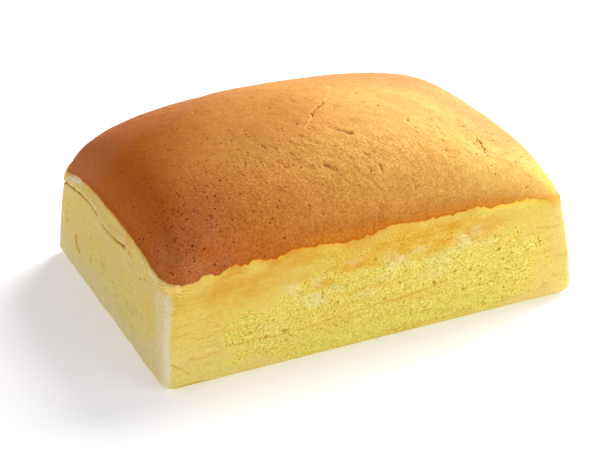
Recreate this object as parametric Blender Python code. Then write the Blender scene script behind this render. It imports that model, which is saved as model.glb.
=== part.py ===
"""Castella sponge cake: one whole loaf of soft sponge under a browned, domed crust.

Metres, +Z up. The origin is the middle of the underside. +X runs along the loaf's
length and +Y across its width. The loaf is one closed solid: a flat underside with a
rounded foot, sides that lean in, a crust whose rim stands just proud of them, and a
pillow-shaped top. The crust's rim hangs lower at the corners, each by its own amount,
and a fold of skin runs along the -X side just under the rim.
"""

import math

import bmesh
import bpy
from mathutils import Vector

# Driving dimensions
LENGTH = 0.2010         # footprint along X
WIDTH = 0.1438          # footprint along Y
RIM_HEIGHT = 0.0523     # height of the crust's rim along the middle of a side
SHOULDER = 0.0143       # rise of the steep shoulder just inside the rim
CROWN = 0.0218          # further rise of the gentle crown over the middle
END_TAPER = 0.0051      # how far each end leans in between the foot and the rim
SIDE_TAPER = 0.0042     # the same for each long side
BULGE = 0.0005          # how far the sides swell outwards at half height
FOOT_INSET = 0.0035     # how far the rounded foot turns under
FOOT_HEIGHT = 0.0044    # height over which the foot is rounded
FOOT_RADIUS = 0.0038    # corner radius in plan at the foot
RIM_RADIUS = 0.0101     # corner radius in plan at the rim
INNER_ROUNDING = 0.161  # how much that radius grows from the rim to the middle of the top
ROUNDING_POWER = 1.6    # the higher, the further from the rim it starts to grow
LIP = 0.0003            # how far the crust's rim stands proud of the side
LIP_THICKNESS = 0.0006  # thickness of that rim

# Shape of the top
SHOULDER_POWER = 16.0   # the higher, the steeper the shoulder and the squarer the top
CROWN_POWER = 2.14      # the higher, the flatter the middle of the crown
SWELL = 0.0004          # gentle unevenness of the top
SWELL_LENGTH = 0.061    # wavelength of that unevenness
SWELL_PHASES = (1.0, -0.6)  # where along X and Y its waves start

# How far the rim hangs down at each corner, and how far along the sides it does so
CORNER_DROOPS = {
    (-1, -1): (0.0052, 0.0303),
    (1, -1): (0.0061, 0.0210),
    (1, 1): (0.0047, 0.0226),
    (-1, 1): (0.0062, 0.0275),
}

# The fold of skin along the -X side; heights are shares of the rim's height
FOLD_BULGE = 0.0007     # how far the fold stands out
FOLD_AT = 0.93          # its height
FOLD_REACH = 0.035      # half its thickness
FOLD_CREASE = 0.0008    # how far the crease below it goes in
CREASE_AT = 0.86        # the crease's height
CREASE_REACH = 0.02     # half its thickness
FOLD_START = -0.036     # Y where the fold fades out towards the front
FOLD_FADE = 0.016       # length over which it fades

# Mesh density
LONG_STEPS = 20         # faces along each straight long side
SHORT_STEPS = 14        # faces along each straight end
ARC_STEPS = 5           # faces round each corner
SIDE_LEVELS = (0, 0.012, 0.03, 0.055, 0.09, 0.19, 0.31, 0.44, 0.57, 0.69, 0.79, 0.83, 0.86, 0.90, 0.95, 1)
DOME_LEVELS = (0.985, 0.965, 0.94, 0.905, 0.86, 0.80, 0.72, 0.63, 0.53, 0.43, 0.33, 0.23, 0.13)
UNDERSIDE_LEVELS = (0.75, 0.5, 0.25)

CRUST_COLOUR = (0.56, 0.26, 0.075, 1.0)
SPONGE_COLOUR = (0.86, 0.62, 0.16, 1.0)


def lerp(a, b, t):
    return a + (b - a) * t


def half_sizes(z):
    """Half the length and half the width of the loaf's side walls at height z."""
    share = z / RIM_HEIGHT
    swell = BULGE * 4 * share * (1 - share)
    foot = FOOT_INSET * max(0.0, 1 - z / FOOT_HEIGHT) ** 2
    half_length = LENGTH / 2 - END_TAPER * share + swell - foot
    half_width = WIDTH / 2 - SIDE_TAPER * share + swell - foot
    return half_length, half_width


def corner_radius(z):
    return lerp(FOOT_RADIUS, RIM_RADIUS, min(1.0, z / RIM_HEIGHT) ** 2)


def outline(half_length, half_width, radius):
    """Points of a rounded rectangle, anticlockwise from the end of its -X side.

    Every outline has the same number of points in the same order, so that outlines
    at different heights join up.
    """
    corners = ((-1, -1), (1, -1), (1, 1), (-1, 1))
    arcs = []
    for index, (side_x, side_y) in enumerate(corners):
        centre = Vector((side_x * (half_length - radius), side_y * (half_width - radius)))
        start = math.pi + index * math.pi / 2
        angles = [start + math.pi / 2 * step / ARC_STEPS for step in range(ARC_STEPS + 1)]
        arcs.append([centre + radius * Vector((math.cos(a), math.sin(a))) for a in angles])
    points = []
    for index, arc in enumerate(arcs):
        points += arc
        following = arcs[(index + 1) % len(arcs)][0]
        steps = LONG_STEPS if index % 2 == 0 else SHORT_STEPS
        points += [arc[-1].lerp(following, step / steps) for step in range(1, steps)]
    return points


RIM_HALF_LENGTH, RIM_HALF_WIDTH = half_sizes(RIM_HEIGHT)


def top_height(x, y, share=1.0):
    """Height of the crust at (x, y) on the ring that is a share of the rim's size."""
    height = RIM_HEIGHT
    for (side_x, side_y), (droop, reach) in CORNER_DROOPS.items():
        distance = math.hypot(x - side_x * RIM_HALF_LENGTH, y - side_y * RIM_HALF_WIDTH)
        height -= droop * math.exp(-((distance / reach) ** 2))
    height += SHOULDER * (1 - share**SHOULDER_POWER)
    across = 1 - min(1.0, abs(x) / RIM_HALF_LENGTH) ** CROWN_POWER
    along = 1 - min(1.0, abs(y) / RIM_HALF_WIDTH) ** CROWN_POWER
    turn = 2 * math.pi / SWELL_LENGTH
    waves = math.sin(turn * x + SWELL_PHASES[0]) * math.cos(turn * y + SWELL_PHASES[1])
    return height + CROWN * across * along + SWELL * (1 - share**2) * waves


def fold_relief(x, y, share):
    """How far the skin stands out of the -X side, at a share of the rim's height."""
    if x > -RIM_HALF_LENGTH + RIM_RADIUS:
        return 0.0
    along = min(1.0, max(0.0, (y - FOLD_START) / FOLD_FADE))
    bulge = FOLD_BULGE * math.exp(-(((share - FOLD_AT) / FOLD_REACH) ** 2))
    crease = FOLD_CREASE * math.exp(-(((share - CREASE_AT) / CREASE_REACH) ** 2))
    return along * (bulge - crease)


def side_ring(share, rim):
    """The wall's outline at a share of the rim's height, which varies along it."""
    ring = []
    for index, (x, y) in enumerate(rim):
        z = share * top_height(x, y)
        point = outline(*half_sizes(z), corner_radius(z))[index]
        point.x -= fold_relief(x, y, share)
        ring.append(Vector((point.x, point.y, z)))
    return ring


def dome_ring(share):
    """One ring of the crust: the rim's outline, smaller and with rounder corners."""
    half_length = RIM_HALF_LENGTH * share
    half_width = RIM_HALF_WIDTH * share
    growth = INNER_ROUNDING * (1 - share) ** ROUNDING_POWER
    radius = min(half_width, RIM_RADIUS * share + growth)
    ring = outline(half_length, half_width, radius)
    return [Vector((x, y, top_height(x, y, share))) for x, y in ring]


def lip_rings(rim):
    """Two rings that make the crust's rim stand proud of the side."""
    wider = outline(RIM_HALF_LENGTH + LIP, RIM_HALF_WIDTH + LIP, RIM_RADIUS + LIP)
    lower = [Vector((x, y, point.z)) for (x, y), point in zip(wider, rim)]
    upper = [point + Vector((0, 0, LIP_THICKNESS)) for point in lower]
    return [lower, upper]


def underside_ring(share, foot):
    return [Vector((point.x * share, point.y * share, 0)) for point in foot]


def cake_rings():
    """All the rings of the loaf, from the middle of its underside up to the crown."""
    plan = outline(RIM_HALF_LENGTH, RIM_HALF_WIDTH, RIM_RADIUS)
    walls = [side_ring(share, plan) for share in SIDE_LEVELS]
    under = [underside_ring(share, walls[0]) for share in reversed(UNDERSIDE_LEVELS)]
    lips = lip_rings(walls[-1])
    dome = [dome_ring(share) for share in DOME_LEVELS]
    return under + walls + lips + dome


def make_material(name, colour, roughness):
    material = bpy.data.materials.new(name)
    material.use_nodes = True
    shader = material.node_tree.nodes["Principled BSDF"]
    shader.inputs["Base Color"].default_value = colour
    shader.inputs["Roughness"].default_value = roughness
    shader.inputs["Metallic"].default_value = 0.0
    return material


def make_cake():
    """Lofts the rings into one closed mesh, with a fan of triangles at each end."""
    mesh = bpy.data.meshes.new("cake")
    mesh.materials.append(make_material("sponge", SPONGE_COLOUR, 0.85))
    mesh.materials.append(make_material("crust", CRUST_COLOUR, 0.6))
    build = bmesh.new()
    rings = [[build.verts.new(point) for point in ring] for ring in cake_rings()]
    count = len(rings[0])
    first_crust_ring = len(UNDERSIDE_LEVELS) + len(SIDE_LEVELS)
    for level in range(len(rings) - 1):
        lower, upper = rings[level], rings[level + 1]
        for i in range(count):
            j = (i + 1) % count
            face = build.faces.new((lower[i], lower[j], upper[j], upper[i]))
            face.material_index = 1 if level + 1 >= first_crust_ring else 0
    bottom = build.verts.new((0, 0, 0))
    apex = build.verts.new((0, 0, top_height(0, 0, 0)))
    for i in range(count):
        j = (i + 1) % count
        build.faces.new((bottom, rings[0][j], rings[0][i]))
        build.faces.new((apex, rings[-1][i], rings[-1][j])).material_index = 1
    bmesh.ops.recalc_face_normals(build, faces=build.faces)
    build.to_mesh(mesh)
    build.free()
    mesh.shade_smooth()
    mesh.set_sharp_from_angle(angle=math.radians(60))
    cake = bpy.data.objects.new("cake", mesh)
    bpy.context.scene.collection.objects.link(cake)
    return cake


def main():
    for existing in list(bpy.data.objects):
        bpy.data.objects.remove(existing)
    make_cake()


main()
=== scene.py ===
"""The looks of a whole castella loaf: a browned, domed crust over sides of skin and open crumb.

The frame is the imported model's: +Z up, +X along the loaf, origin in the middle of the underside.
Shapes here are worked out in millimetres and become metres when a mesh is made. The sides are
one sheet of points wrapped round the loaf and cut at the corners into four pieces. The crust is
one domed sheet, cut into a front and a back piece. Relief is made in the sheets, and each point
also carries marks, such as how deep it lies in a pore, that the materials colour it by.
"""

import itertools
import math

import bpy
import numpy as np
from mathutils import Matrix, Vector


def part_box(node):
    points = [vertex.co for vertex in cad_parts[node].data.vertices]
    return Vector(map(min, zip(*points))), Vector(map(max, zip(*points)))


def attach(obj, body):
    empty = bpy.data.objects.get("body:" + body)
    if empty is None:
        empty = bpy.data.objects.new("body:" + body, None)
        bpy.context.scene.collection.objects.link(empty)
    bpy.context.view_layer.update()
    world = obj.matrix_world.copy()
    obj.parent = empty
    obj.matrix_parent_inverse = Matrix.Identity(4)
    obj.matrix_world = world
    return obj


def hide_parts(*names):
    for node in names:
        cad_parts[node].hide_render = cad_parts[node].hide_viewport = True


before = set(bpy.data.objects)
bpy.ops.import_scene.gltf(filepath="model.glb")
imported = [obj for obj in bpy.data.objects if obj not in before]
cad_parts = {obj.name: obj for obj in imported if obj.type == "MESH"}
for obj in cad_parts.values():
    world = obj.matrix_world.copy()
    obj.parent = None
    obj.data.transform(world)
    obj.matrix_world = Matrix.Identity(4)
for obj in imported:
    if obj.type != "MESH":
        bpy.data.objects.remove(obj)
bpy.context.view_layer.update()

MM = 0.001
TINY = 1e-9             # keeps a division finite
LOW, HIGH = (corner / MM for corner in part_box("cake"))

# Sizes of the loaf in millimetres, as the CAD model has them
RIM_HEIGHT = 52.3
SHOULDER = 14.3
END_TAPER = 5.1
SIDE_TAPER = 4.2
BULGE = 0.5
FOOT_INSET = 3.5
FOOT_HEIGHT = 4.4
FOOT_RADIUS = 3.8
RIM_RADIUS = 10.1
INNER_ROUNDING = 161.0
ROUNDING_POWER = 1.6
SHOULDER_POWER = 16.0
CROWN_POWER = 2.14
SWELL = 0.4
SWELL_LENGTH = 61.0
SWELL_PHASES = (1.0, -0.6)
CORNER_DROOPS = {
    (-1, -1): (5.2, 30.3),
    (1, -1): (6.1, 21.0),
    (1, 1): (4.7, 22.6),
    (-1, 1): (6.2, 27.5),
}

# How fine the sheets are
WALL_STEP = 0.38
CRUST_STEP = 0.46

# The four sides, by the direction that each faces, in order round the loaf
SIDES = {"front": (0, -1), "right": (1, 0), "back": (0, 1), "left": (-1, 0)}

# Random values at the corners of the noise's cells, looked up by a hash of the corner
LATTICE = np.random.default_rng(20).uniform(-1, 1, 1 << 16)
HASH = (73856093, 19349663, 83492791)


# ---------------------------------------------------------------- helpers

def add_object(name, data):
    """A new object in the scene, made of the data given."""
    made = bpy.data.objects.new(name, data)
    bpy.context.scene.collection.objects.link(made)
    return made


def noise(points, size, seed=0, octaves=1):
    """Smooth random values, mostly within -1 to 1, with features of the given size.

    The size is one number, or one for each direction. Each octave is half as large and half as
    strong as the one before. The seed and the octave shift the cells.
    """
    total = np.zeros(points.shape[:-1])
    share = 1.6
    for octave in range(octaves):
        place = points * 2.0**octave / np.asarray(size, float) + 37.3 * seed + 11.7 * octave
        cell = np.floor(place).astype(np.int64)
        part = place - cell
        part = part * part * (3 - 2 * part)
        for step in itertools.product((0, 1), repeat=3):
            key = np.bitwise_xor.reduce((cell + step) * HASH, axis=-1)
            weight = np.prod(np.where(step, part, 1 - part), axis=-1)
            total += share * weight * LATTICE[(key + 7919 * seed) % len(LATTICE)]
        share *= 0.5
    return total


def smooth(start, end, value):
    """0 up to start, 1 from end on, and a smooth step in between."""
    part = np.clip((value - start) / (end - start), 0, 1)
    return part * part * (3 - 2 * part)


def near(value, middle, reach):
    """1 at the middle, fading out on both sides of it, down to 0.37 at the reach."""
    return np.exp(-(((value - middle) / reach) ** 2))


def from_stretch(u, v, start, end):
    """Each place (u, v) against a straight stretch: how far along it, 0 to 1, and how far away."""
    along_u, along_v = end[0] - start[0], end[1] - start[1]
    along = (u - start[0]) * along_u + (v - start[1]) * along_v
    along = np.clip(along / (along_u * along_u + along_v * along_v), 0, 1)
    return along, np.hypot(u - start[0] - along * along_u, v - start[1] - along * along_v)


def away_from_line(u, v, line):
    """Distance of each place (u, v) from a line of points."""
    nearest = np.full(u.shape, np.inf)
    for start, end in zip(line[:-1], line[1:]):
        nearest = np.minimum(nearest, from_stretch(u, v, start, end)[1])
    return nearest


def blob(u, v, middle, reach):
    """A soft round or oval spot: 1 in its middle, and fading out with a reach in u and in v."""
    return near(np.hypot((u - middle[0]) / reach[0], (v - middle[1]) / reach[1]), 0, 1)


def stamp_pits(shape, spacing, places, radii, warp):
    """How deep, 0 to 1, each point of a sheet lies in round pits, the deepest where they meet.

    The pits' places are fractional rows and columns. The warp bends them out of round.
    """
    depth = np.zeros(shape)
    reach = int(np.ceil(radii.max() / spacing)) + 1
    rows, columns = np.round(places).astype(int).T
    for down, across in itertools.product(range(-reach, reach + 1), repeat=2):
        row, column = rows + down, columns + across
        inside = (row >= 0) & (row < shape[0]) & (column >= 0) & (column < shape[1])
        row, column, place, radius = row[inside], column[inside], places[inside], radii[inside]
        away = np.hypot(
            (row - place[:, 0]) * spacing + warp[0][row, column],
            (column - place[:, 1]) * spacing + warp[1][row, column],
        )
        np.maximum.at(depth, (row, column), np.clip(1 - (away / radius) ** 2, 0, 1))
    return depth


def random_pits(rng, low, high, count, chance, radii, spacing, warp):
    """Pits at random rows and columns from low to high, each kept by the chance where it lies."""
    places = rng.uniform(low, high, (count, 2))
    row, column = places.astype(int).T
    keep = rng.uniform(size=count) < chance[row, column]
    radii = rng.uniform(*radii, count)
    return stamp_pits(chance.shape, spacing, places[keep], radii[keep], warp)


def sheet_normals(points, wraps=False):
    """Unit normals of a sheet whose columns run anticlockwise and whose rows run up or inwards."""
    if wraps:
        padded = np.concatenate([points[:, -1:], points, points[:, :1]], axis=1)
        across = padded[:, 2:] - padded[:, :-2]
    else:
        across = np.gradient(points, axis=1)
    normals = np.cross(across, np.gradient(points, axis=0))
    return normals / np.maximum(np.linalg.norm(normals, axis=-1, keepdims=True), TINY)


def sheet_piece(name, points, normals, marks, places, material):
    """One mesh piece from a sheet of points, with its marks and a flat map of its places."""
    rows, columns = points.shape[:2]
    index = np.arange(rows * columns).reshape(rows, columns)
    corners = (index[:-1, :-1], index[:-1, 1:], index[1:, 1:], index[1:, :-1])
    quads = np.stack(corners, axis=-1).reshape(-1, 4)
    mesh = bpy.data.meshes.new(name)
    mesh.vertices.add(rows * columns)
    mesh.vertices.foreach_set("co", (points * MM).astype(np.float32).ravel())
    mesh.loops.add(quads.size)
    mesh.loops.foreach_set("vertex_index", quads.astype(np.int32).ravel())
    mesh.polygons.add(len(quads))
    mesh.polygons.foreach_set("loop_start", np.arange(0, quads.size, 4, dtype=np.int32))
    mesh.update(calc_edges=True)
    mesh.validate()
    flat = places.reshape(-1, 2) - places.reshape(-1, 2).min(0)
    uv = mesh.uv_layers.new(name="OFBake")
    uv.data.foreach_set("uv", (flat / flat.max())[quads.ravel()].astype(np.float32).ravel())
    for mark, values in marks.items():
        attribute = mesh.attributes.new(mark, "FLOAT", "POINT")
        attribute.data.foreach_set("value", values.astype(np.float32).ravel())
    mesh.shade_smooth()
    mesh.normals_split_custom_set_from_vertices(normals.reshape(-1, 3).astype(np.float32))
    mesh.materials.append(material)
    piece = add_object(name, mesh)
    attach(piece, "root")
    return piece


# ---------------------------------------------------------------- the loaf's form

def foot_and_swell(z):
    share = z / RIM_HEIGHT
    return BULGE * 4 * share * (1 - share) - FOOT_INSET * np.maximum(0, 1 - z / FOOT_HEIGHT) ** 2


HEIGHTS = np.linspace(0, RIM_HEIGHT, 400)
LENGTH = HIGH.x - LOW.x - 2 * np.max(foot_and_swell(HEIGHTS) - END_TAPER * HEIGHTS / RIM_HEIGHT)
WIDTH = HIGH.y - LOW.y - 2 * np.max(foot_and_swell(HEIGHTS) - SIDE_TAPER * HEIGHTS / RIM_HEIGHT)
CROWN = HIGH.z - RIM_HEIGHT - SHOULDER
HALF_LENGTH = LENGTH / 2 - END_TAPER
HALF_WIDTH = WIDTH / 2 - SIDE_TAPER


def half_sizes(z):
    """Half the length and half the width of the walls at height z."""
    share = z / RIM_HEIGHT
    out = foot_and_swell(z)
    return LENGTH / 2 - END_TAPER * share + out, WIDTH / 2 - SIDE_TAPER * share + out


def corner_radius(z):
    """The radius in plan of the walls' corners at height z."""
    return FOOT_RADIUS + (RIM_RADIUS - FOOT_RADIUS) * np.minimum(1, z / RIM_HEIGHT) ** 2


def outline_stretch(side, along, half_length, half_width, radius):
    """Points of a rounded rectangle on one side, along it from -1 to 1, corner to corner."""
    normal = SIDES[side]
    deep, wide = (half_length, half_width) if normal[0] else (half_width, half_length)
    radius = np.maximum(radius, TINY)
    straight = np.maximum(wide - radius, 0)
    reach = along * (straight + radius * math.pi / 4)
    turn = np.maximum(0, np.abs(reach) - straight) / radius
    out = deep - radius * (1 - np.cos(turn))
    across = np.sign(reach) * (np.minimum(np.abs(reach), straight) + radius * np.sin(turn))
    return out * normal[0] - across * normal[1], out * normal[1] + across * normal[0]


def top_height(x, y, share):
    """Height of the crust at (x, y), on the ring that is a share of the rim's size."""
    height = np.full(np.shape(x), RIM_HEIGHT)
    for (side_x, side_y), (droop, reach) in CORNER_DROOPS.items():
        distance = np.hypot(x - side_x * HALF_LENGTH, y - side_y * HALF_WIDTH)
        height = height - droop * near(distance, 0, reach)
    along = 1 - np.minimum(1, np.abs(x) / HALF_LENGTH) ** CROWN_POWER
    across = 1 - np.minimum(1, np.abs(y) / HALF_WIDTH) ** CROWN_POWER
    turn = 2 * math.pi / SWELL_LENGTH
    waves = np.sin(turn * x + SWELL_PHASES[0]) * np.cos(turn * y + SWELL_PHASES[1])
    height = height + SHOULDER * (1 - share**SHOULDER_POWER) + CROWN * along * across
    return height + SWELL * (1 - share**2) * waves


def dome_place(side, along, share):
    """A place on the crust, by side, by place along it and by share of the rim's size."""
    radius = RIM_RADIUS * share + INNER_ROUNDING * (1 - share) ** ROUNDING_POWER
    radius = np.minimum(radius, HALF_WIDTH * share)
    x, y = outline_stretch(side, along, HALF_LENGTH * share, HALF_WIDTH * share, radius)
    return np.stack([x, y, top_height(x, y, share)], axis=-1)


# How far the crust's rim hangs above or below its smooth line along the front: (x, z)
RIM_LINE = (
    (-92, -0.6), (-85, -1.2), (-82.5, -1), (-81, 0.8), (-77, 0.9), (-75.6, -0.5), (-73, -1.2), (-71, -0.4),
    (-69, 1.2), (-66, 0.9), (-60.6, -0.8), (-59.2, 0.4), (-55, 0.3), (-49, -1.8), (-46, -1.4), (-41, 0.1),
    (-37, 0.6), (-30, -0.2), (-22, -0.6), (-14, -1.5), (-9, -1.4), (-3, -0.5), (4, 1.4), (13, 1.2),
    (22, 0.5), (37, 0.3), (49, 1.3), (53, 0.2), (55, -1.3), (57, -0.2), (65, 0.4), (72, 1.4), (80, 1.7),
    (86, 1), (93, -0.4),
)


def facing(points):
    """How far each place belongs to the front and to the left, 0 to 1."""
    front = smooth(6, 2, points[..., 1] + HALF_WIDTH)
    return front, smooth(6, 2, points[..., 0] + HALF_LENGTH) * (1 - front)


def rim_sag(points):
    """How far the crust's rim hangs above or below its smooth line at each place."""
    front, left = facing(points)
    plan = points * (1, 1, 0)
    ragged = 0.32 * noise(plan, 2.0, 53, 3)
    ragged += 0.34 * smooth(42, 52, points[..., 0]) * noise(plan, 1.4, 67, 2)
    line = np.interp(points[..., 0], *np.array(RIM_LINE).T) + ragged
    loose = 0.6 * noise(plan, 11, 48, 2) + 0.35 * noise(plan, 3.0, 49, 2)
    loose = loose * smooth(2, 20, points[..., 1] + HALF_WIDTH)
    return front * line + (1 - front) * (1 - 0.6 * left) * loose


# ---------------------------------------------------------------- the sides

UNDER_CRUST = 4.0       # how far the sides go on under the crust
TUCK = 1.0              # how deep under it they lie
UNDER_SHARE = 0.024     # how far in they end, as a share of the crust's size
CORNER_INSET = 0.293    # how far a corner's middle lies in from the side, as a share of its radius

# Marks along a side: places are (distance to the right of its middle, height)
FOLD_LINE = (
    (-69, 37.5), (-66, 38.8), (-60.5, 40.3), (-55.4, 41.1), (-49.3, 42), (-42.5, 42.9), (-35.8, 43.8),
    (-29.9, 44.2), (-22.4, 44.6), (-15.7, 43.8), (-9.8, 42.6), (-1.9, 41.6), (6.7, 41.8), (16.1, 43.4),
    (20, 43.6),
)
# Creases in the skin: how deep each is, and its line
CREASES = {
    "front": (
        (0.6, ((-93.5, 29.2), (-90, 29.9), (-86, 29.8))),
        (0.8, ((-95, 25.6), (-91, 25.9), (-87.5, 26.2))),
        (0.9, ((-87.5, 23.2), (-83, 22.3), (-80.5, 22.1), (-76, 23.5), (-72, 24.5))),
        (0.7, ((-83, 32.9), (-77.5, 32.2), (-72, 32.9))),
        (0.9, ((-88, 14.3), (-84, 13.5), (-79, 14.0), (-74.5, 15.2))),
        (1.3, ((-97, 13.3), (-93, 11.2), (-89, 7.6))),
        (0.5, ((-95, 20.3), (-91, 19.6), (-87, 20.0))),
        (0.4, ((-96, 37.2), (-90, 37.0), (-84, 38.0))),
        (1.1, ((-72.5, 16.6), (-64.5, 15.8), (-56.5, 15.8), (-48.5, 14.8), (-37, 15.7), (-21, 17.4),
               (-13, 17.8), (-5.5, 17.6), (4.5, 18.9), (14, 18.6), (25, 20.4), (33, 22.6))),
        (0.35, ((66, 36.6), (73, 35.8), (78, 33.5), (81.5, 30), (83.6, 25.6), (85, 15), (82, 8.5))),
    ),
    "right": (
        (0.8, ((-60, 22.5), (-54, 22.0), (-48, 23.4))),
        (0.9, ((42, 14.0), (48, 13.2), (56, 14.8), (62, 14.2))),
        (0.6, ((-36, 17.5), (-20, 16.8), (2, 18.0), (24, 18.6))),
    ),
    "back": (
        (0.9, ((-88, 21.0), (-80, 20.2), (-74, 21.4))),
        (0.7, ((72, 27.0), (80, 26.2), (88, 27.4))),
        (0.7, ((-60, 18.2), (-30, 17.0), (0, 17.6), (32, 16.4), (52, 17.2))),
    ),
    "left": (
        (0.5, ((52, 30.0), (57, 29.2), (62, 30.2))),
    ),
}
# The open crumb of each side: its upper and its lower edge
CRUMB_EDGES = {
    "front": (
        ((-80, 24), (-74, 25.5), (-69, 28), (-63, 30), (-57, 31.5), (-50, 31), (-44, 32.5), (-38, 37),
         (-31, 44), (-20, 49), (0, 50.5), (20, 51), (34, 50), (47, 45), (62, 39), (74, 36.5), (82, 32),
         (90, 18)),
        ((-80, 24), (-73.5, 17.5), (-71.5, 10.5), (-66, 7.5), (-60, 6), (-52, 3.0), (-45, 0.5), (-30, -1),
         (-10, -1), (30, 0), (60, 1.5), (72, 4), (80, 8), (90, 18)),
    ),
    "right": (
        ((-54, 20), (-44, 31), (-20, 36), (6, 34), (30, 37), (46, 30), (54, 19)),
        ((-54, 20), (-42, 10), (0, 5), (38, 7), (54, 19)),
    ),
    "back": (
        ((-82, 18), (-74, 30), (-50, 37), (-20, 35), (12, 38), (44, 34), (70, 36), (81, 20)),
        ((-82, 18), (-70, 9), (-20, 4), (40, 5), (70, 7), (81, 20)),
    ),
    "left": (
        ((-30, 24), (-12, 27), (4, 26), (24, 29), (44, 29), (57, 20)),
        ((-30, 24), (-20, 16), (0, 12), (30, 9), (57, 20)),
    ),
}
# How bare each side's crumb is
BARENESS = {"front": 1.0, "right": 0.9, "back": 1.0, "left": 0.65}
# Ragged patches on each side: place, half the width and half the height, and strength
PATCHES = {
    # toasted skin
    "amber": {
        "front": (
            (-80, 40.5, 13, 6, 0.8), (-67, 42, 16, 7, 1), (-50, 43, 12, 5, 0.8), (-38, 39, 8, 3, 0.7),
            (-26, 34, 8, 2.5, 0.8), (-30, 46, 14, 3, 0.5), (-60, 41, 34, 9, 0.7), (14, 43.5, 62, 9, 1),
            (-38, 47, 17, 6, 0.95), (-6, 46.5, 12, 3.5, 0.6), (11, 47.5, 9, 3, 0.9), (20, 42, 8, 2.5, 0.7),
            (28, 46, 7, 2.5, 0.9), (35, 43, 5, 2, 0.6), (0, 27, 14, 2, 0.4),
        ),
        "right": (
            (-52, 43, 20, 7, 0.8), (-32, 47, 13, 3, 0.6), (-12, 44, 36, 8, 0.6), (20, 47, 12, 3, 0.7),
            (29, 41, 9, 2.5, 0.6), (54, 41, 15, 8, 0.8), (12, 26, 14, 2, 0.4),
        ),
        "back": (
            (-76, 42, 18, 8, 0.9), (-52, 45, 24, 6, 0.7), (-10, 44, 48, 8, 0.7), (-30, 38, 9, 2.5, 0.6),
            (18, 47, 13, 3, 0.8), (36, 41, 8, 2.5, 0.6), (60, 44, 28, 8, 0.8), (84, 39, 11, 6, 0.7),
            (6, 28, 16, 2, 0.4),
        ),
        "left": ((24, 48, 5, 3, 0.7), (6, 43, 9, 1.6, 0.4),),
    },
    # pale, flaky scraps
    "pale": {
        "front": (
            (-40.8, 34.5, 5, 4, 0.9), (-32, 27.3, 8, 3.5, 1), (-29.2, 35, 4, 3, 0.8), (-22, 31, 5, 2, 0.5),
            (9.5, 35.5, 8, 5.5, 0.9), (20, 39, 5, 2, 0.6), (43.4, 39, 8, 5, 0.9), (47, 42, 5, 3.5, 0.8),
            (38, 35, 7, 2.5, 0.8), (29, 32.5, 7, 2.5, 0.7), (4, 30, 6, 2, 0.5), (-12, 41, 6, 2, 0.5),
            (54, 35, 6, 2.5, 0.5), (-52, 20, 7, 2, 0.3), (26, 27, 9, 2.5, 0.5), (-8, 25, 9, 2, 0.4),
        ),
        "right": ((-30, 34, 6, 4, 0.9), (8, 38, 7, 3, 0.8), (34, 30, 6, 3, 0.7),),
        "back": ((-58, 34, 7, 4, 0.9), (-20, 31, 6, 3, 0.8), (24, 37, 8, 3, 0.9), (56, 32, 7, 4, 0.8),),
        "left": (
            (47, 47.2, 3, 1.2, 1), (-52, 46.6, 3, 1.4, 1), (20, 37, 6, 4, 0.3), (-14, 38, 8, 3, 0.3),
        ),
    },
    # white torn scraps under the crust
    "white": {
        "right": ((40, 48.6, 3, 1.2, 1),),
        "back": ((-70, 47.6, 3, 1.2, 1),),
    },
    # thinner, greener skin over the crumb
    "lemon": {
        "front": ((-10, 7, 40, 5, 0.7), (40, 9, 30, 5, 0.6), (-80, 7, 18, 7, 0.8),),
        "right": ((10, 14, 36, 6, 0.7),),
        "back": ((0, 12, 60, 6, 0.7),),
        "left": (
            (-20.5, 20.3, 9, 5, 0.6), (-2.8, 21.5, 12, 6, 0.8), (14.6, 20.7, 10, 6, 0.8),
            (25, 29.6, 8, 4, 0.6), (40, 29, 8, 6, 0.7), (48, 22.6, 7, 7, 0.6), (30, 14, 16, 5, 0.5),
            (-50, 30, 6, 6, 0.5), (-24, 33, 18, 7, 0.35), (-40, 14, 16, 5, 0.4),
        ),
    },
    # spots where the colour is concentrated
    "spot": {
        # the first, a dark line along the front's foot, is painted contact shadow where the loaf meets the
        # floor
        "front": ((-87, 1.7, 11, 1.1, 1.2), (-78.6, 50.6, 2.6, 1, 0.5),),
        "right": ((22, 17, 1.8, 3, 0.7),),
        "back": ((-34, 22, 2, 1.6, 0.6), (61, 15, 1.8, 2.6, 0.6),),
        "left": (
            (-43.3, 18.6, 3, 4.6, 1.1), (-39.6, 15, 3.6, 1.8, 0.9), (-22, 29.5, 0.9, 2.6, 0.8),
            (-21.1, 19, 1.5, 1.8, 0.7), (-5.5, 23.3, 3, 1.2, 0.5), (-30, 26, 0.8, 1.6, 0.5),
            (12, 17, 2, 0.9, 0.5), (38, 22, 1.6, 0.8, 0.4), (30, 27, 1.4, 0.8, 0.5),
        ),
    },
    # spots that are toasted orange
    "toasted": {
        "front": ((-82, 49.2, 1.6, 0.6, 0.8),),
        "right": ((20, 42, 2.2, 0.9, 1),),
        "back": ((-20, 43, 2.6, 0.8, 0.8),),
        "left": (
            (25.8, 43.6, 1.8, 1.1, 1.6), (28.6, 43, 1.2, 0.8, 1.2), (-56.6, 22.9, 1.8, 0.8, 1.2),
            (-58.3, 26.2, 1.5, 0.7, 1), (40, 38.4, 2.4, 0.5, 1), (46, 40.4, 2.6, 0.5, 0.8),
            (8, 36, 1.5, 0.6, 0.4), (18, 31, 1, 1.2, 0.4),
        ),
    },
}
# Pores at random places: how many per mm2 of crumb, their least and greatest radius, and depth
PORES = ((0.10, (0.34, 0.50), 0.6), (0.016, (0.50, 0.75), 0.85))
SKIN_PORES = 0.010      # the share of them that the skin has
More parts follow.
